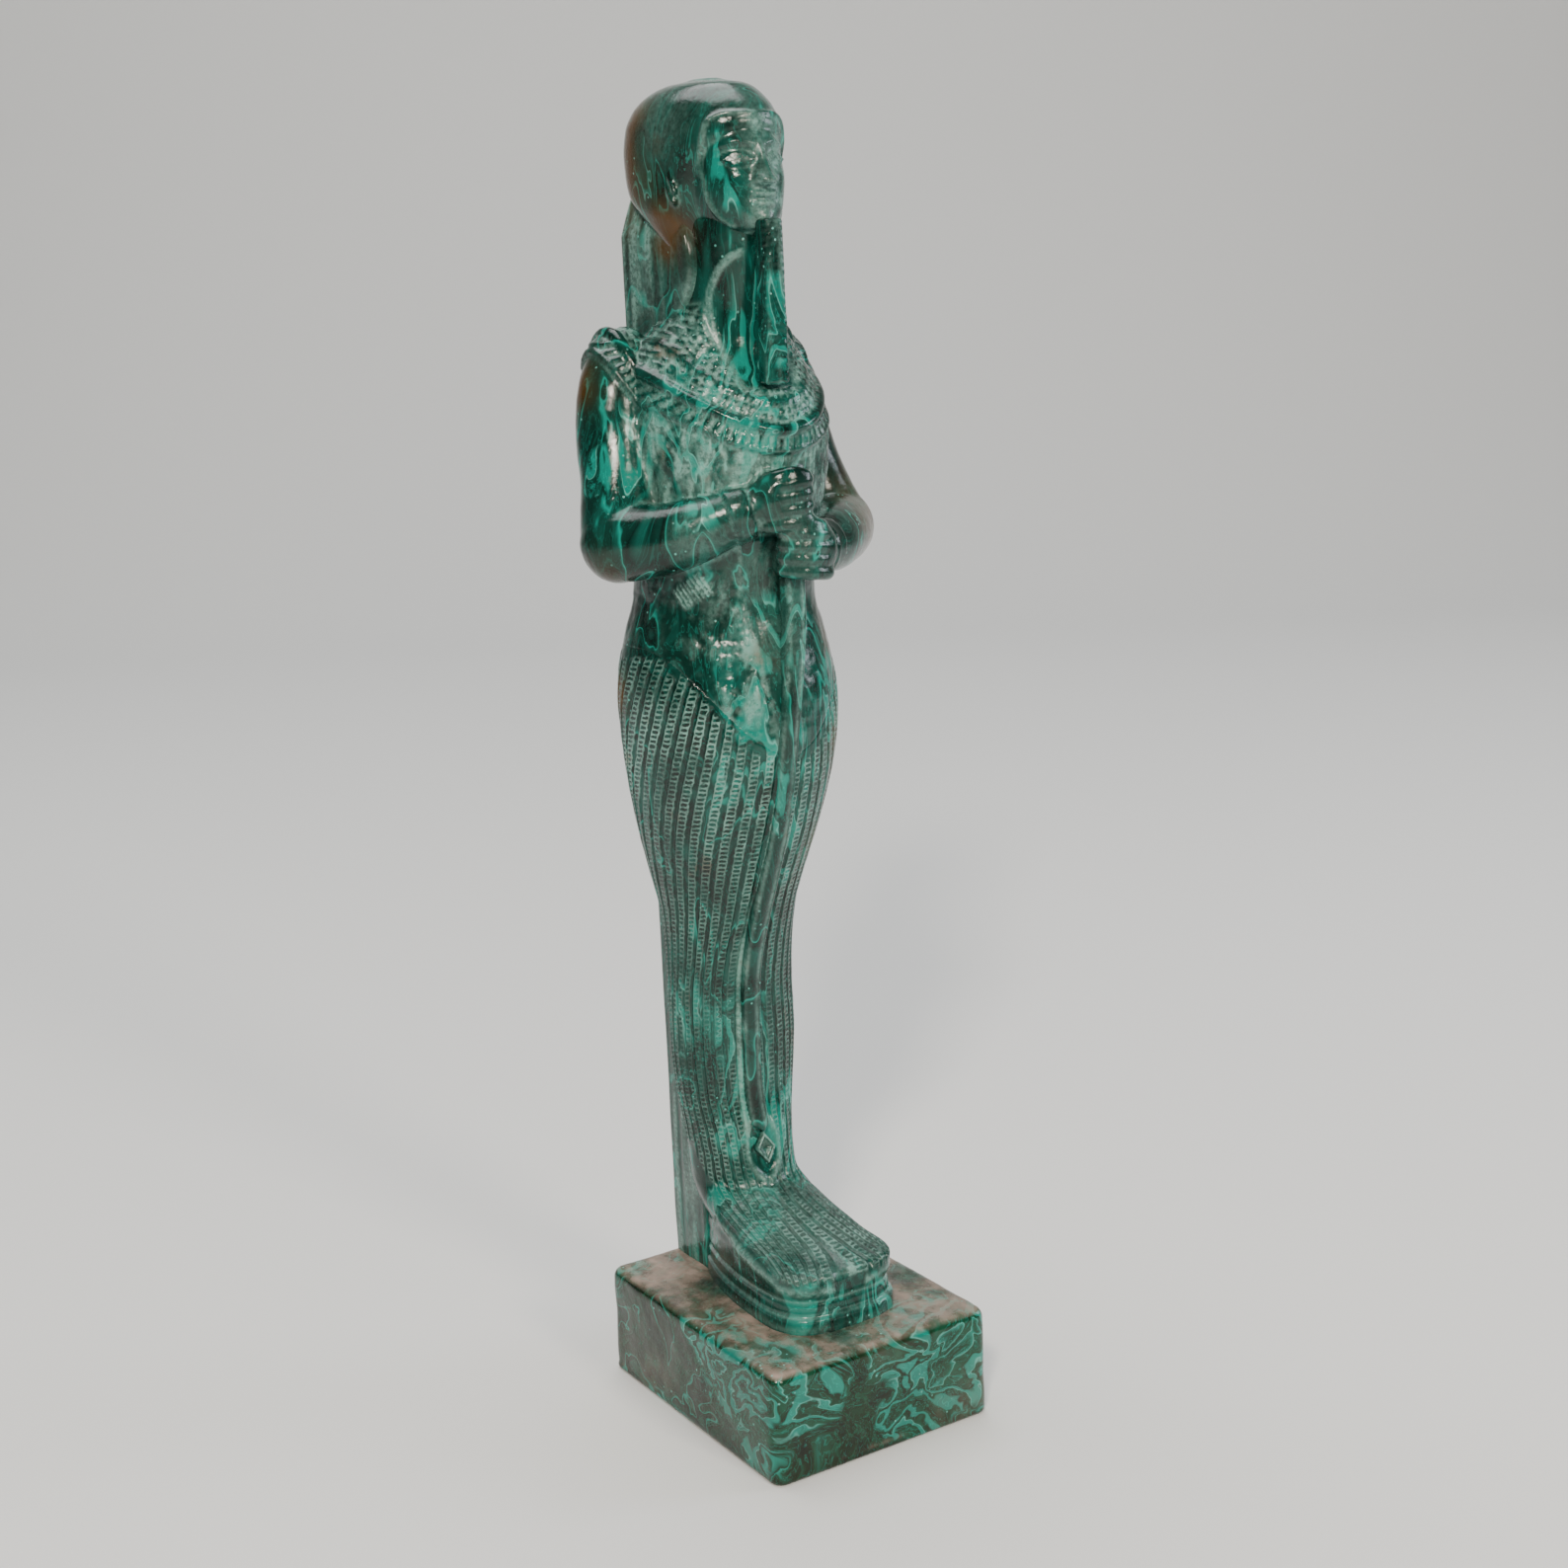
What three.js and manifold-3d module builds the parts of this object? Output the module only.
// A cast statuette of a standing mummiform deity. The shrouded body with its folded arms, the skull cap,
// the straight beard, the staff held in both fists, the broad collar and the back pillar are one casting
// with the block that they stand on, so the part is one solid. Lengths are in millimetres, +Z is up and
// the figure looks along -Y. The origin is the middle of the block's underside.

import * as THREE from 'three';
import Module from 'manifold-3d';
import { mergeVertices } from 'three/addons/utils/BufferGeometryUtils.js';

// Driving dimensions.
const PLINTH_WIDTH = 58;
const PLINTH_DEPTH = 73;
const PLINTH_HEIGHT = 26;
const PLINTH_TOP_RADIUS = 2.6;
const PLINTH_FOOT_RADIUS = 1.2;
const PLINTH_CORNER_RADIUS = 3;
const PILLAR_FOOT_WIDTH = 21.4;
const PILLAR_TOP_WIDTH = 23.8;
const PILLAR_DEPTH = 15;
const PILLAR_SETBACK = 1.2;
const FIGURE_HEIGHT = 271;
const STAFF_WIDTH = 4.6;
const STAFF_RAISE = 1.2;
const BEARD_WIDTH = 5.4;
const BEARD_WEB = 2.8;
const COLLAR_RAISE = 0.7;
const RIDGE_RAISE = 1.6;
const PANEL_RAISE = 0.8;
const BRACELET_RAISE = 0.7;
const BRACELET_WIDTH = 3.4;
const FLUTE_DEPTH = 0.8;
const FLUTE_COUNT = 36;
const CAST_COLOUR = 0x0f3d33;

// The figure keeps its proportions as shares of its height: its tables are written in millimetres for a
// figure of DRAWN_HEIGHT and scaled to FIGURE_HEIGHT. In them x is to the figure's left, y is 0 on the
// pillar's back and negative towards the front, and z is 0 on the block's top.
const DRAWN_HEIGHT = 271;
const SCALE = FIGURE_HEIGHT / DRAWN_HEIGHT;

// How far one form sinks into the next, so that both become one body.
const ROOT = 2;

// Levels of the shrouded body from the sole to the neck: height, half width, the line of greatest width,
// front, back, and how square the front and back quarters are (2 is an ellipse).
const BODY = [
  { z: -ROOT, half: 15.8, wide: -44, front: -60.3, back: -5, fore: 3.2, aft: 2.0 },
  { z: 3.2, half: 15.8, wide: -44, front: -60.3, back: -5, fore: 3.2, aft: 2.0 },
  { z: 4, half: 15.2, wide: -44, front: -59.5, back: -5, fore: 3.1, aft: 2.0 },
  { z: 6.6, half: 15.0, wide: -43.6, front: -59.2, back: -5, fore: 3.1, aft: 2.0 },
  { z: 7.3, half: 14.8, wide: -43.4, front: -58.8, back: -5, fore: 3.1, aft: 2.0 },
  { z: 10, half: 14.9, wide: -44.5, front: -59.0, back: -5, fore: 3.5, aft: 2.0 },
  { z: 12.4, half: 14.8, wide: -46, front: -58.4, back: -5, fore: 4.0, aft: 2.1 },
  { z: 14.4, half: 13.6, wide: -38, front: -53.4, back: -5, fore: 3.0, aft: 2.1 },
  { z: 17.2, half: 13.0, wide: -27, front: -42.0, back: -5, fore: 2.3, aft: 2.2 },
  { z: 20, half: 12.5, wide: -19, front: -32.6, back: -5, fore: 2.1, aft: 2.2 },
  { z: 23.5, half: 12.3, wide: -15, front: -27.6, back: -5, fore: 2.1, aft: 2.2 },
  { z: 28, half: 12.3, wide: -14, front: -26.0, back: -5, fore: 2.2, aft: 2.2 },
  { z: 35, half: 12.9, wide: -13.5, front: -24.6, back: -5, fore: 2.2, aft: 2.3 },
  { z: 45, half: 14.6, wide: -13.5, front: -22.6, back: -5, fore: 2.2, aft: 2.3 },
  { z: 56, half: 15.4, wide: -13.5, front: -22.6, back: -5, fore: 2.2, aft: 2.3 },
  { z: 68, half: 15.4, wide: -13.5, front: -22.8, back: -4.6, fore: 2.1, aft: 2.3 },
  { z: 78, half: 15.2, wide: -13.5, front: -24.8, back: -4, fore: 2.1, aft: 2.4 },
  { z: 88, half: 15.8, wide: -13.5, front: -28.6, back: -3, fore: 2.0, aft: 2.5 },
  { z: 97, half: 17.6, wide: -13.6, front: -32.6, back: -2, fore: 2.0, aft: 2.7 },
  { z: 106, half: 19.8, wide: -14, front: -36.8, back: -1.4, fore: 2.0, aft: 2.7 },
  { z: 116, half: 21.8, wide: -14.6, front: -40.8, back: -0.8, fore: 2.0, aft: 2.7 },
  { z: 124, half: 23.1, wide: -15.6, front: -43.2, back: -0.4, fore: 2.0, aft: 2.7 },
  { z: 131, half: 23.9, wide: -16.4, front: -44.0, back: -0.3, fore: 2.0, aft: 2.7 },
  { z: 139, half: 24.2, wide: -16.8, front: -43.6, back: -0.3, fore: 2.0, aft: 2.8 },
  { z: 146, half: 23.6, wide: -16.8, front: -42.4, back: -0.4, fore: 2.0, aft: 2.8 },
  { z: 154, half: 21.8, wide: -16.8, front: -40.8, back: -0.6, fore: 2.0, aft: 2.7 },
  { z: 161, half: 19.6, wide: -17, front: -39.6, back: -0.8, fore: 2.1, aft: 2.5 },
  { z: 170, half: 19.4, wide: -17, front: -40.4, back: -1.2, fore: 2.2, aft: 2.4 },
  { z: 180, half: 20.4, wide: -16.6, front: -42.8, back: -1.4, fore: 2.3, aft: 2.4 },
  { z: 189, half: 21.4, wide: -16.0, front: -44.8, back: -1.4, fore: 2.3, aft: 2.4 },
  { z: 196, half: 21.8, wide: -15.2, front: -45.2, back: -1.4, fore: 2.3, aft: 2.4 },
  { z: 203, half: 21.4, wide: -14.4, front: -43.2, back: -1.6, fore: 2.2, aft: 2.4 },
  { z: 209, half: 20.4, wide: -13.6, front: -39.6, back: -2.2, fore: 2.1, aft: 2.3 },
  { z: 214, half: 18.0, wide: -14.5, front: -36.4, back: -3.2, fore: 2.0, aft: 2.2 },
  { z: 218, half: 14.2, wide: -18, front: -35.4, back: -5, fore: 2.0, aft: 2.1 },
  { z: 223, half: 10.4, wide: -22.5, front: -35.6, back: -8, fore: 2.1, aft: 2.0 },
  { z: 232, half: 9.6, wide: -24.5, front: -36.8, back: -8, fore: 2.2, aft: 2.0 },
  { z: 242, half: 9.6, wide: -25.5, front: -38.0, back: -8, fore: 2.2, aft: 2.0 },
];
const FLUTED_TOP = 155;
const FOOT_LEVELS = [-ROOT, 3.2, 4, 6.6, 10, 12.4, 14.4, 17.2, 20, 24];
const SHIN_LEVEL = 30;
const SHIN_STEP = 16.9;
const TORSO_STEP = 7.7;
const CHEST_LEVEL = 196;
const NECK_LEVELS = [203, 209, 214, 218, 223, 232, 242];
const TORSO_COLUMNS = 25;
const LAYER_BACK = 0.6;

// The flutes stand for the rows of long feathers. They begin on an arc that dips at the front, lean
// backwards down the thighs and fade out above the sole.
const FLUTES_START = 150;
const FLUTES_DIP = 23;
const FLUTES_FADE = 6;
const FLUTES_FOOT = 9;
const LEAN = THREE.MathUtils.degToRad(24);
const LEAN_TOP = 139;
const LEAN_FOOT = 60;

// Levels of the face and of the skull cap, in the same terms.
const HEAD = [
  { z: 238.0, half: 6.0, wide: -30, front: -38, back: -20, fore: 2.2, aft: 2.2 },
  { z: 240.2, half: 7.6, wide: -29, front: -41.2, back: -17, fore: 2.3, aft: 2.3 },
  { z: 243.5, half: 9.2, wide: -28, front: -42.0, back: -14, fore: 2.4, aft: 2.4 },
  { z: 248, half: 10.4, wide: -26, front: -41.8, back: -11, fore: 2.4, aft: 2.4 },
  { z: 253, half: 11.0, wide: -24, front: -41.0, back: -9, fore: 2.4, aft: 2.4 },
  { z: 258, half: 11.0, wide: -22, front: -40.2, back: -8, fore: 2.3, aft: 2.4 },
  { z: 263, half: 10.2, wide: -21, front: -37.4, back: -7, fore: 2.3, aft: 2.4 },
];
const CAP = [
  { z: 237.5, half: 9.8, wide: -20, front: -28.5, back: -7, fore: 2.0, aft: 2.3 },
  { z: 240.5, half: 12.6, wide: -18, front: -29.5, back: -2.4, fore: 2.1, aft: 2.8 },
  { z: 244.5, half: 13.9, wide: -17, front: -31, back: -0.6, fore: 2.2, aft: 3.0 },
  { z: 250, half: 14.4, wide: -16.5, front: -33.5, back: -0.1, fore: 2.3, aft: 3.0 },
  { z: 256, half: 14.6, wide: -16.5, front: -36.6, back: 0, fore: 2.4, aft: 3.0 },
  { z: 261, half: 14.1, wide: -17, front: -38.8, back: -0.4, fore: 2.1, aft: 3.0 },
  { z: 264.5, half: 13.0, wide: -17.5, front: -37.0, back: -1.4, fore: 2.0, aft: 2.8 },
  { z: 267.4, half: 11.0, wide: -18, front: -34.0, back: -4.2, fore: 2.0, aft: 2.6 },
  { z: 269.6, half: 7.8, wide: -18.5, front: -30.5, back: -9.2, fore: 2.1, aft: 2.3 },
  { z: DRAWN_HEIGHT, half: 2.4, wide: -19, front: -23.5, back: -16, fore: 2.0, aft: 2.0 },
];

// The lower edge of the cap rises towards the back, up to a level that stays upright.
const CAP_RISE = 0.55;
const CAP_UPRIGHT = 256;

// The pillar's height, the length that backs the neck, and how its top draws in under the cap.
const PILLAR_HEIGHT = 239;
const TIP_RISE = 11;
const TIP_SHARE = 0.72;
const TIP_SETBACK = 1;
const NAPE_LENGTH = 33;
const NAPE_DEPTH = 26;

// Points down the right arm, each with its radius; the left upper arm mirrors the right one. Each limb
// starts and ends inside the ball of a joint, which is a little larger.
const JOINT_SWELL = 0.6;
const UPPER_ARM = [
  { at: [-18.5, -9.2, 211.6], radius: 7.3 },
  { at: [-21.0, -11.0, 206], radius: 8.4 },
  { at: [-22.6, -12.7, 196], radius: 8.6 },
  { at: [-24.2, -15.8, 187], radius: 8.3 },
  { at: [-26.4, -18.9, 179], radius: 8.2 },
  { at: [-27.4, -20.8, 175], radius: 8.0 },
];
const RIGHT_ELBOW = { at: [-27.4, -21.4, 175.0], radius: 8.6 };
const LEFT_ELBOW = { at: [28.4, -21.8, 173.2], radius: 8.9 };
const RIGHT_FOREARM = [
  { at: [-27.4, -21.4, 175.0], radius: 8.0 },
  { at: [-21.6, -30.0, 175.8], radius: 7.6 },
  { at: [-15.2, -36.8, 178.4], radius: 6.7 },
  { at: [-9.4, -41.4, 181.2], radius: 5.8 },
  { at: [-3.6, -44.0, 183.2], radius: 5.2 },
];
const LEFT_FOREARM = [
  { at: [28.2, -21.8, 173.4], radius: 8.2 },
  { at: [21.8, -30.4, 173.0], radius: 7.6 },
  { at: [14.8, -37.8, 172.4], radius: 6.6 },
  { at: [9.4, -42.2, 172.4], radius: 5.4 },
  { at: [4.8, -45.0, 172.6], radius: 5.0 },
];
const RIGHT_FIST = [-0.8, -45.2, 183.2];
const LEFT_FIST = [2.6, -45.8, 172.2];

// The staff's front line from the fists to the ankles, as [y, z] on the body, and the lozenge below it.
const STAFF_LINE = [
  [-44.8, 168], [-44.8, 158], [-44.9, 146], [-45.0, 136], [-44.0, 128], [-41.6, 118], [-38.2, 108],
  [-34.4, 99], [-30.2, 89], [-26.4, 79], [-24.0, 69], [-23.4, 57], [-24.4, 45], [-26.6, 34.5],
];
const STAFF_INWARD = 12;
const LOZENGE_AT = 31;
const LOZENGE_TALL = 6.8;
const LOZENGE_WIDE = 4.8;

// The plain tapering panel beside the staff: x at its top and foot, and its heights.
const PANEL = { foot: 128, top: 176, outerX: -8.6, innerX: -1.5 };

// The broad collar, seen from the front as rings about one point of the middle line.
const COLLAR_CENTRE = 219.3;
const COLLAR_OUTER = 26.4;
const RIDGE_OUTER = 22.2;
const RIDGE_INNER = 20.4;
const COLLAR_LEVELS = [187, 196, 203, 209, 214, 218, 223];

const BEARD = { top: 241, foot: 207.5, front: -44.5, depth: 4.8, flare: 1.16, webDepth: 18 };

const wasm = await Module();
wasm.setup();

/** A smooth value between the rows of a table, without overshoot. */
function blendRows(table, z, key) {
  const last = table.length - 1;
  if (z <= table[0].z) return table[0][key];
  if (z >= table[last].z) return table[last][key];
  let i = 0;
  while (z > table[i + 1].z) i += 1;
  const slope = (j) => (table[j + 1][key] - table[j][key]) / (table[j + 1].z - table[j].z);
  const tangent = (j) => {
    if (j === 0 || j === last) return 0;
    const [before, after] = [slope(j - 1), slope(j)];
    return before * after <= 0 ? 0 : (2 * before * after) / (before + after);
  };
  const span = table[i + 1].z - table[i].z;
  const t = (z - table[i].z) / span;
  const [t2, t3] = [t * t, t * t * t];
  return (2 * t3 - 3 * t2 + 1) * table[i][key] + (t3 - 2 * t2 + t) * span * tangent(i)
    + (3 * t2 - 2 * t3) * table[i + 1][key] + (t3 - t2) * span * tangent(i + 1);
}

/** A whole level of a table at height z. */
function levelAt(table, z) {
  const level = { z };
  for (const key of ['half', 'wide', 'front', 'back', 'fore', 'aft']) level[key] = blendRows(table, z, key);
  return level;
}

/** The point of a level at an angle from the front, with the outline grown by some millimetres. */
function outlinePoint(level, angle, grow = 0) {
  const [s, c] = [Math.sin(angle), Math.cos(angle)];
  const power = 2 / (c > 0 ? level.fore : level.aft);
  const reach = c > 0 ? level.front - level.wide - grow : level.back - level.wide + grow;
  const x = Math.sign(s) * (level.half + grow) * Math.abs(s) ** power;
  return [x, level.wide + reach * Math.abs(c) ** power, level.z];
}

/** A closed form of rings. place(column, row, share) gives a point; share is 0 in the middle of an end. */
function ringForm(columns, rows, place) {
  const form = new THREE.CylinderGeometry(1, 1, 1, columns, rows);
  const spot = form.attributes.position;
  for (let i = 0; i < spot.count; i += 1) {
    const [x, y, z] = [spot.getX(i), spot.getY(i), spot.getZ(i)];
    const share = Math.hypot(x, z) > 0.5 ? 1 : 0;
    const column = (Math.round((Math.atan2(x, z) / (2 * Math.PI)) * columns) + columns) % columns;
    spot.setXYZ(i, ...place(column, Math.round((y + 0.5) * rows), share));
  }
  return form;
}

/** A closed stack of a table's levels at the given heights; shape(level, angle, column) may carve it. */
function stack(table, heights, columns, shape = (level, angle) => outlinePoint(level, angle)) {
  return ringForm(columns, heights.length - 1, (column, row, share) => {
    const level = levelAt(table, heights[row]);
    if (share === 0) return [0, (level.front + level.back) / 2, level.z];
    return shape(level, (column / columns) * 2 * Math.PI, column);
  });
}

/** A closed tube along points, each with its radius, with flat ends that lie inside other forms. */
function limb(points, columns, rows) {
  const line = new THREE.CatmullRomCurve3(points.map((p) => new THREE.Vector3(...p.at)));
  const frames = line.computeFrenetFrames(rows, false);
  const radiusAt = (t) => {
    const s = t * (points.length - 1);
    const i = Math.min(Math.floor(s), points.length - 2);
    return THREE.MathUtils.lerp(points[i].radius, points[i + 1].radius, s - i);
  };
  return ringForm(columns, rows, (column, row, share) => {
    const angle = (column / columns) * 2 * Math.PI;
    const radius = radiusAt(row / rows) * share;
    return line.getPointAt(row / rows)
      .addScaledVector(frames.normals[row], radius * Math.cos(angle))
      .addScaledVector(frames.binormals[row], radius * Math.sin(angle))
      .toArray();
  });
}

/** A ball stretched to three half sizes, turned about x and z, and moved to a point. */
function ball(at, size, turnX = 0, turnZ = 0, columns = 7, rows = 5) {
  const form = new THREE.SphereGeometry(1, columns, rows);
  form.rotateX(Math.PI / 2).scale(...size).rotateX(turnX).rotateZ(turnZ).translate(...at);
  return form;
}

/** The manifold solid of a closed geometry. */
function solid(geometry) {
  const shell = geometry.index ? geometry.toNonIndexed() : geometry.clone();
  shell.deleteAttribute('normal');
  shell.deleteAttribute('uv');
  const merged = mergeVertices(shell, 1e-4);
  const corners = merged.index.array;
  const triangles = [];
  for (let i = 0; i < corners.length; i += 3) {
    const [a, b, c] = [corners[i], corners[i + 1], corners[i + 2]];
    if (a !== b && b !== c && c !== a) triangles.push(a, b, c);
  }
  return new wasm.Manifold(new wasm.Mesh({
    numProp: 3,
    vertProperties: new Float32Array(merged.attributes.position.array),
    triVerts: new Uint32Array(triangles),
  }));
}

/** The union of several geometries. */
function fuse(geometries) {
  return geometries.map(solid).reduce((whole, next) => whole.add(next));
}

/** Heights from low to high in even steps of about the given size. */
function evenHeights(low, high, step) {
  const count = Math.max(1, Math.round((high - low) / step));
  return Array.from({ length: count + 1 }, (_, i) => low + ((high - low) * i) / count);
}

/** An outline seen from the front, carried straight through the figure from front to back. */
function frontDrum(outline) {
  const [depth, behind, curveSegments] = [90, 15, 13];
  const form = new THREE.ExtrudeGeometry(outline, { depth, bevelEnabled: false, curveSegments });
  return form.rotateX(Math.PI / 2).translate(0, behind, 0);
}

/** The legs and hips under the shroud, with long flutes that lean backwards as they fall. */
function legs() {
  const heights = [...FOOT_LEVELS, ...evenHeights(SHIN_LEVEL, FLUTED_TOP, SHIN_STEP)];
  const clamp = THREE.MathUtils.clamp;
  return stack(BODY, heights, FLUTE_COUNT * 2, (level, angle, column) => {
    const fall = clamp((LEAN_TOP - level.z) / (LEAN_TOP - LEAN_FOOT), 0, 1);
    const leant = angle + LEAN * (2 * fall - 1) * Math.sin(angle);
    const start = FLUTES_START - FLUTES_DIP * Math.max(0, Math.cos(angle)) ** 3;
    const above = clamp((start - level.z) / FLUTES_FADE, 0, 1);
    const below = clamp((level.z - FLUTES_FOOT) / FLUTES_FADE, 0, 1);
    const cut = (column % 2) * (FLUTE_DEPTH / SCALE) * above * below;
    return outlinePoint(level, leant, -cut);
  });
}

/** The waist, chest and neck. Their lowest level lies inside the hips and the next just within their rim. */
function torso() {
  const inside = 9;
  const heights = [FLUTED_TOP - inside, ...evenHeights(FLUTED_TOP, CHEST_LEVEL, TORSO_STEP), ...NECK_LEVELS];
  const sunk = new Map([[heights[0], -4], [heights[1], -0.12]]);
  return stack(BODY, heights, TORSO_COLUMNS, (level, angle) => (
    outlinePoint(level, angle, sunk.get(level.z) ?? 0)));
}

/** The shoulder and upper arm on one side (-1 right, 1 left), grown outwards by some millimetres. */
function sideArm(side, grow) {
  const line = UPPER_ARM.map(({ at: [x, y, z], radius }) => (
    { at: [x * -side, y, z], radius: radius + grow }));
  const swollen = line[0].radius + JOINT_SWELL;
  return [limb(line, 12, 6), ball(line[0].at, [swollen, swollen, swollen], 0, 0, 12, 7)];
}

/** The point of a grown layer: half a column round from the body's own facets, and never past its back. */
function layerPoint(level, angle, grow) {
  const [x, y, z] = outlinePoint(level, angle + Math.PI / TORSO_COLUMNS, grow);
  return [x, Math.min(y, -LAYER_BACK), z];
}

/** The chest and shoulders grown outwards by some millimetres, sinking back into the neck. */
function grownChest(grow) {
  const top = COLLAR_LEVELS[COLLAR_LEVELS.length - 1];
  const chest = stack(BODY, COLLAR_LEVELS, TORSO_COLUMNS, (level, angle) => (
    layerPoint(level, angle, level.z === top ? -1 : grow)));
  return fuse([chest, ...sideArm(-1, grow), ...sideArm(1, grow)]);
}

/** A ring seen from the front about the collar's centre. */
function collarRing(outer, inner) {
  const outline = new THREE.Shape().absarc(0, COLLAR_CENTRE, outer, 0, 2 * Math.PI);
  if (inner > 0) outline.holes.push(new THREE.Path().absarc(0, COLLAR_CENTRE, inner, 0, 2 * Math.PI));
  return solid(frontDrum(outline));
}

/** The broad collar: a thin layer over chest and shoulders, and a raised ridge on it. */
function collar() {
  const layer = grownChest(COLLAR_RAISE / SCALE).intersect(collarRing(COLLAR_OUTER, 0));
  const ridge = grownChest(RIDGE_RAISE / SCALE).intersect(collarRing(RIDGE_OUTER, RIDGE_INNER));
  return layer.add(ridge);
}

/** The plain raised panel that tapers down beside the staff. */
function panel() {
  const outline = new THREE.Shape();
  outline.moveTo(PANEL.innerX - 1, PANEL.foot);
  outline.lineTo(PANEL.innerX + STAFF_WIDTH / 2, PANEL.foot);
  outline.lineTo(PANEL.innerX + STAFF_WIDTH / 2, PANEL.top);
  outline.lineTo(PANEL.outerX, PANEL.top);
  outline.closePath();
  const heights = evenHeights(PANEL.foot - 6, PANEL.top + 4, 9);
  const skin = stack(BODY, heights, TORSO_COLUMNS, (level, angle) => (
    layerPoint(level, angle, PANEL_RAISE / SCALE)));
  return solid(skin).intersect(solid(frontDrum(outline)));
}

/** The staff: a square rib that follows the body's front from the fists to the ankles. */
function staff() {
  const width = STAFF_WIDTH / SCALE;
  const raise = STAFF_RAISE / SCALE;
  const outline = new THREE.Shape([
    ...STAFF_LINE.map(([y, z]) => new THREE.Vector2(y - raise, z)),
    ...[...STAFF_LINE].reverse().map(([y, z]) => new THREE.Vector2(y + STAFF_INWARD, z)),
  ]);
  const form = new THREE.ExtrudeGeometry(outline, { depth: width, bevelEnabled: false });
  const turn = new THREE.Matrix4().set(0, 0, 1, -width / 2, 1, 0, 0, 0, 0, 1, 0, 0, 0, 0, 0, 1);
  return form.applyMatrix4(turn);
}

/** A small lozenge boss at the staff's foot. */
function lozenge() {
  const [w, h] = [LOZENGE_WIDE / 2, LOZENGE_TALL / 2];
  const corners = [[0, h], [w, 0], [0, -h], [-w, 0]];
  const outline = new THREE.Shape(corners.map(([x, z]) => new THREE.Vector2(x, z)));
  const depth = 8;
  const front = levelAt(BODY, LOZENGE_AT).front - STAFF_RAISE / SCALE;
  const form = new THREE.ExtrudeGeometry(outline, { depth, bevelEnabled: false });
  return form.rotateX(Math.PI / 2).translate(0, front + depth, LOZENGE_AT);
}

/** The straight beard, a little wider at its foot, and the web between it and the throat. */
function beard() {
  const slab = (width, front, back) => {
    const form = new THREE.BoxGeometry(width / SCALE, back - front, BEARD.top - BEARD.foot, 1, 1, 3);
    form.translate(0, (front + back) / 2, (BEARD.top + BEARD.foot) / 2);
    const spot = form.attributes.position;
    for (let i = 0; i < spot.count; i += 1) {
      const fall = (BEARD.top - spot.getZ(i)) / (BEARD.top - BEARD.foot);
      spot.setX(i, spot.getX(i) * THREE.MathUtils.lerp(1 / BEARD.flare, 1, fall));
    }
    return form;
  };
  return [
    slab(BEARD_WIDTH, BEARD.front, BEARD.front + BEARD.depth),
    slab(BEARD_WEB, BEARD.front + 1, BEARD.front + BEARD.webDepth),
  ];
}

/** A finger that bends round the staff, as offsets from the middle of the hand across and forwards. */
const FINGER = [[5.2, 0.6], [4.4, -3.2], [0.4, -5.0], [-3.6, -4.0], [-5.0, -0.6]];
const FINGER_RADIUS = 1.62;
const FINGER_PITCH = 2.7;

/** A closed fist about the staff: the palm, four bent fingers and the thumb laid over them. */
function fist([x, y, z], side) {
  const forms = [ball([x + side * 0.8, y + 0.4, z], [5.6, 4.8, 5.4], 0, 0, 10, 6)];
  for (const rank of [-1.5, -0.5, 0.5, 1.5]) {
    forms.push(limb(FINGER.map(([across, forward]) => ({
      at: [x + side * across, y + forward, z + rank * FINGER_PITCH], radius: FINGER_RADIUS,
    })), 6, 5));
  }
  forms.push(ball([x + side * 0.6, y - 1.4, z + 5.4], [4.4, 3.4, 1.8], 0, side * 0.3));
  return forms;
}

/** A wrist band about a forearm, at the second to last of its points. */
function bracelet(line) {
  const [wrist, hand] = line.slice(-2);
  const radius = wrist.radius + BRACELET_RAISE / SCALE;
  const along = new THREE.Vector3(...hand.at).sub(new THREE.Vector3(...wrist.at)).normalize();
  const form = new THREE.CylinderGeometry(radius, radius, BRACELET_WIDTH / SCALE, 14);
  form.applyQuaternion(new THREE.Quaternion().setFromUnitVectors(new THREE.Vector3(0, 1, 0), along));
  return form.translate(...wrist.at);
}

/** Plain, even features: nose, lips, eyes, brows and ears. */
function face() {
  const forms = [
    ball([0, -41.2, 251.6], [1.6, 2.6, 3.8], 0.2),
    ball([0, -42.4, 248.7], [2.2, 1.9, 1.4]),
    ball([0, -41.2, 245.2], [3.4, 1.7, 0.9], 0, 0, 8, 6),
    ball([0, -41.0, 243.5], [2.8, 1.7, 0.9], 0, 0, 8, 6),
  ];
  for (const side of [-1, 1]) {
    forms.push(ball([side * 4.6, -39.2, 253.4], [2.8, 1.6, 1.1], 0, side * 0.35, 8, 6));
    forms.push(ball([side * 4.8, -38.6, 256.2], [3.8, 1.8, 0.7], 0, side * 0.38));
    forms.push(ball([side * 11.6, -30.6, 251.8], [1.8, 2.8, 4.6], 0.15));
  }
  return forms;
}

/** The skull cap, whose lower edge is sheared so that it rises towards the back. */
function cap() {
  const [low, high] = [CAP[0].z, CAP_UPRIGHT];
  return stack(CAP, CAP.map((level) => level.z), 24, (level, angle) => {
    const [x, y, z] = outlinePoint(level, angle);
    const share = THREE.MathUtils.clamp((high - z) / (high - low), 0, 1);
    return [x, y, z + CAP_RISE * share * (y - level.wide)];
  });
}

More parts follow.
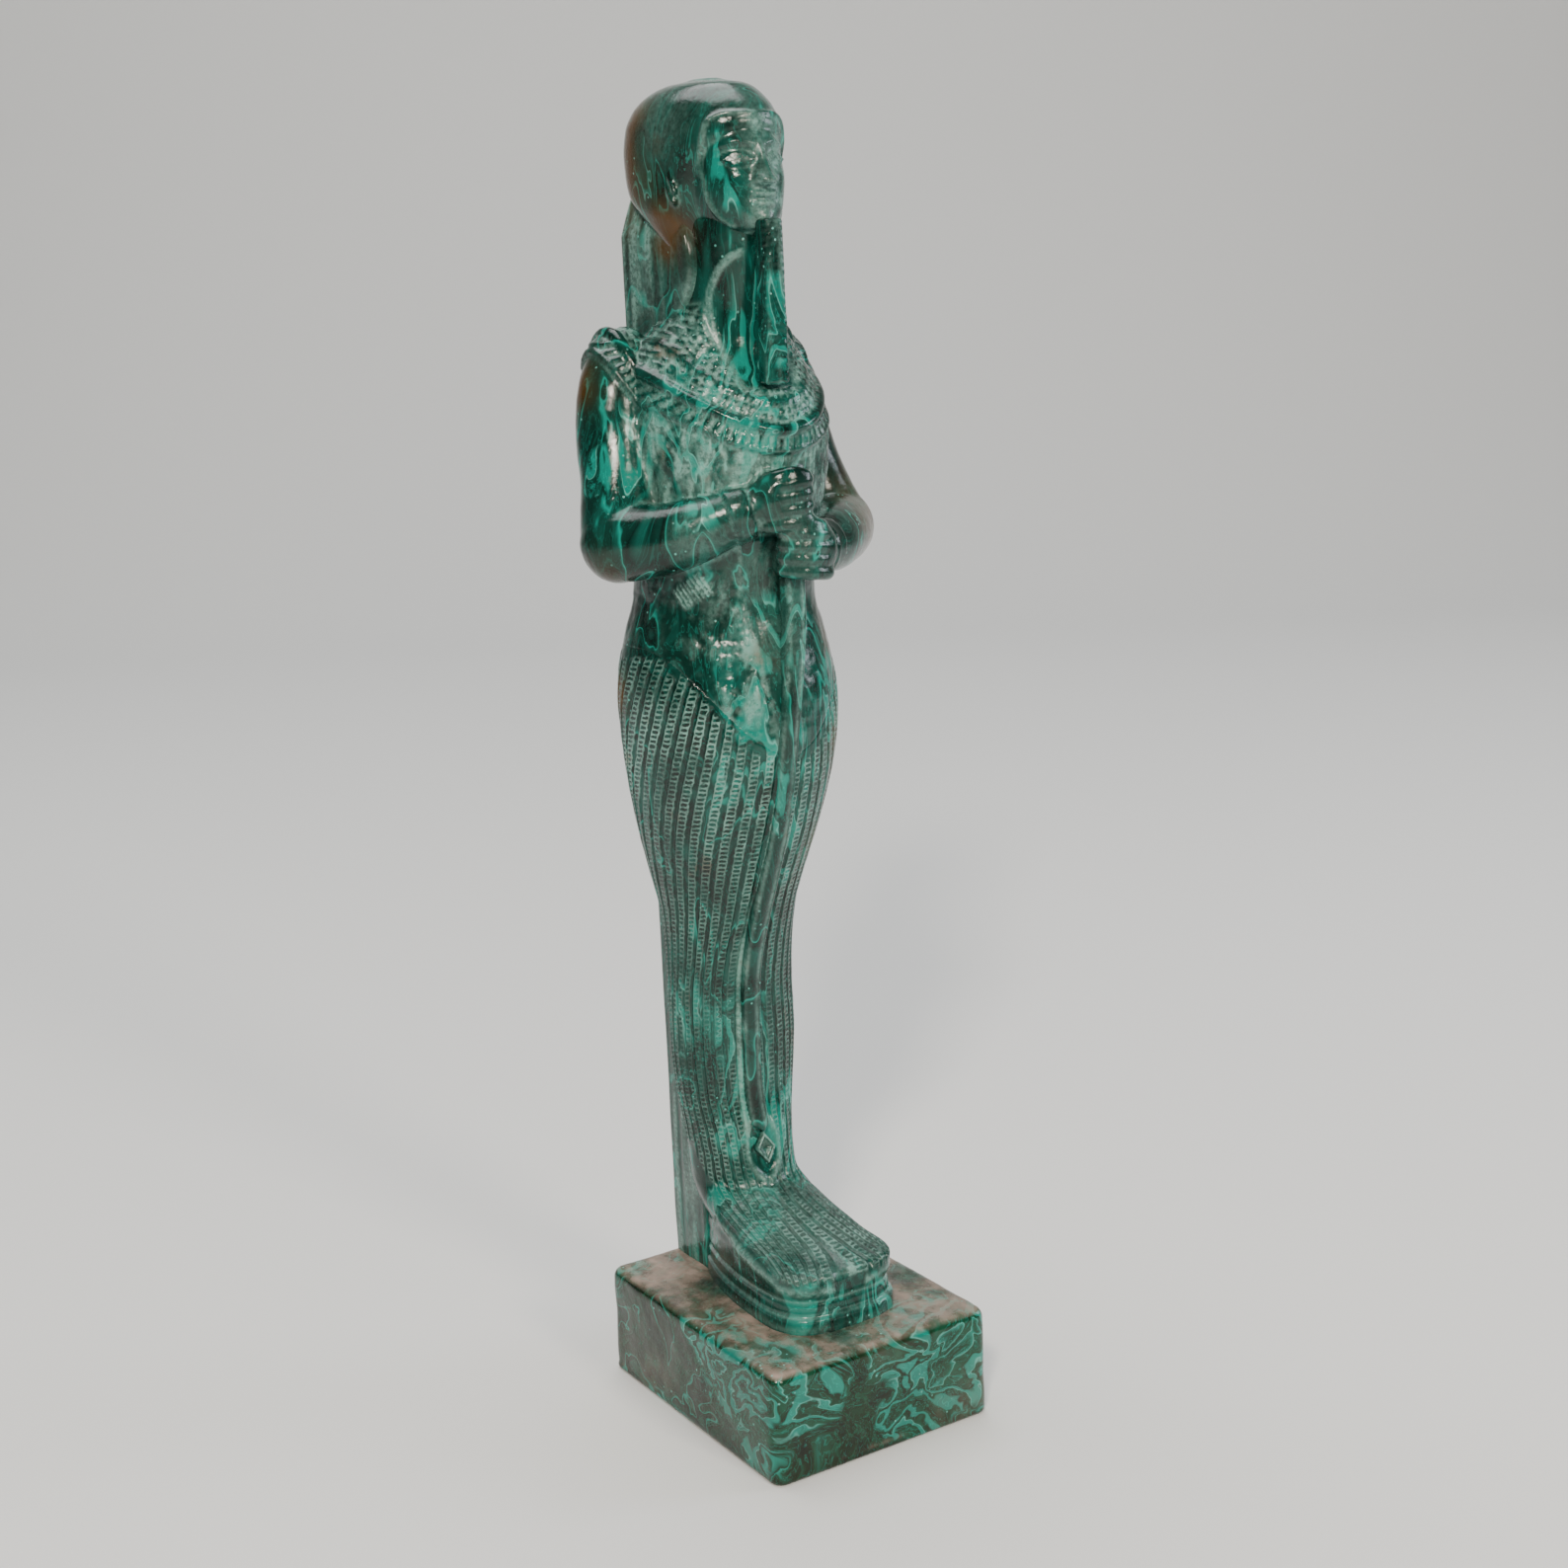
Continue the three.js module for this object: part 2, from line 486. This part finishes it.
/** The whole figure without its pillar, in real millimetres, standing on the block. */
function figure() {
  const arms = [limb(RIGHT_FOREARM, 12, 6), limb(LEFT_FOREARM, 12, 6), ...sideArm(-1, 0), ...sideArm(1, 0)];
  for (const { at, radius } of [RIGHT_ELBOW, LEFT_ELBOW]) {
    arms.push(ball(at, [radius, radius, radius], 0, 0, 12, 7));
  }
  const forms = fuse([
    legs(), torso(), ...arms, bracelet(RIGHT_FOREARM), bracelet(LEFT_FOREARM),
    ...fist(RIGHT_FIST, -1), ...fist(LEFT_FIST, 1), staff(), lozenge(), ...beard(),
    stack(HEAD, HEAD.map((level) => level.z), 20), cap(), ...face(),
  ]);
  return forms.add(collar()).add(panel())
    .scale([SCALE, SCALE, SCALE])
    .translate([0, PLINTH_DEPTH / 2 - PILLAR_SETBACK, PLINTH_HEIGHT]);
}

/** The back pillar: a flat slab behind the whole figure, deeper behind the neck, its top drawn in. */
function pillar() {
  const heights = [PILLAR_HEIGHT - NAPE_LENGTH, PILLAR_HEIGHT, PILLAR_HEIGHT + TIP_RISE];
  const [nape, shoulder, tip] = heights.map((height) => height * SCALE);
  const nearSide = -NAPE_DEPTH * SCALE;
  const side = new THREE.Shape([
    [-PILLAR_DEPTH, -ROOT], [0, -ROOT], [0, shoulder], [-TIP_SETBACK, tip], [nearSide, tip],
    [nearSide, shoulder], [nearSide, nape], [-PILLAR_DEPTH, nape],
  ].map(([y, z]) => new THREE.Vector2(y, z)));
  const form = new THREE.ExtrudeGeometry(side, { depth: 1, bevelEnabled: false });
  const spot = form.attributes.position;
  for (let i = 0; i < spot.count; i += 1) {
    const [y, z, across] = [spot.getX(i), spot.getY(i), spot.getZ(i) - 0.5];
    const drawnIn = THREE.MathUtils.clamp((z - shoulder) / (tip - shoulder), 0, 1);
    const width = z <= shoulder
      ? THREE.MathUtils.lerp(PILLAR_FOOT_WIDTH, PILLAR_TOP_WIDTH, z / shoulder)
      : THREE.MathUtils.lerp(PILLAR_TOP_WIDTH, PILLAR_TOP_WIDTH * TIP_SHARE, drawnIn);
    spot.setXYZ(i, across * width, PLINTH_DEPTH / 2 - PILLAR_SETBACK + y, PLINTH_HEIGHT + z);
  }
  return solid(form);
}

/** The block under the figure, with worn, rounded edges and corners. */
function plinth() {
  const corner = Math.max(PLINTH_CORNER_RADIUS, PLINTH_TOP_RADIUS, PLINTH_FOOT_RADIUS);
  const arcSteps = 4;
  const turns = [0, 1, 2, 3].map((i) => (i / 3) * (Math.PI / 2));
  const levels = [
    ...turns.map((t) => ({
      inset: PLINTH_FOOT_RADIUS * (1 - Math.sin(t)), z: PLINTH_FOOT_RADIUS * (1 - Math.cos(t)),
    })),
    ...turns.map((t) => ({
      inset: PLINTH_TOP_RADIUS * (1 - Math.cos(t)), z: PLINTH_HEIGHT - PLINTH_TOP_RADIUS * (1 - Math.sin(t)),
    })),
  ];
  return solid(ringForm(4 * (arcSteps + 1), levels.length - 1, (column, row, share) => {
    const quarter = Math.floor(column / (arcSteps + 1));
    const angle = (quarter + (column % (arcSteps + 1)) / arcSteps) * (Math.PI / 2);
    const radius = corner - levels[row].inset;
    const sideX = quarter < 2 ? 1 : -1;
    const sideY = quarter === 1 || quarter === 2 ? 1 : -1;
    const x = sideX * (PLINTH_WIDTH / 2 - corner) + radius * Math.sin(angle);
    const y = sideY * (PLINTH_DEPTH / 2 - corner) - radius * Math.cos(angle);
    return [x * share, y * share, levels[row].z];
  }));
}

/** The statue as one mesh. */
function statue() {
  const cast = plinth().add(pillar()).add(figure()).getMesh();
  const geometry = new THREE.BufferGeometry();
  geometry.setAttribute('position', new THREE.BufferAttribute(new Float32Array(cast.vertProperties), 3));
  geometry.setIndex(new THREE.BufferAttribute(new Uint32Array(cast.triVerts), 1));
  geometry.computeVertexNormals();
  const material = new THREE.MeshStandardMaterial({ color: CAST_COLOUR, roughness: 0.3, metalness: 0 });
  const mesh = new THREE.Mesh(geometry, material);
  mesh.name = 'statue';
  return mesh;
}

const object = new THREE.Group();
object.add(statue());

export default object;
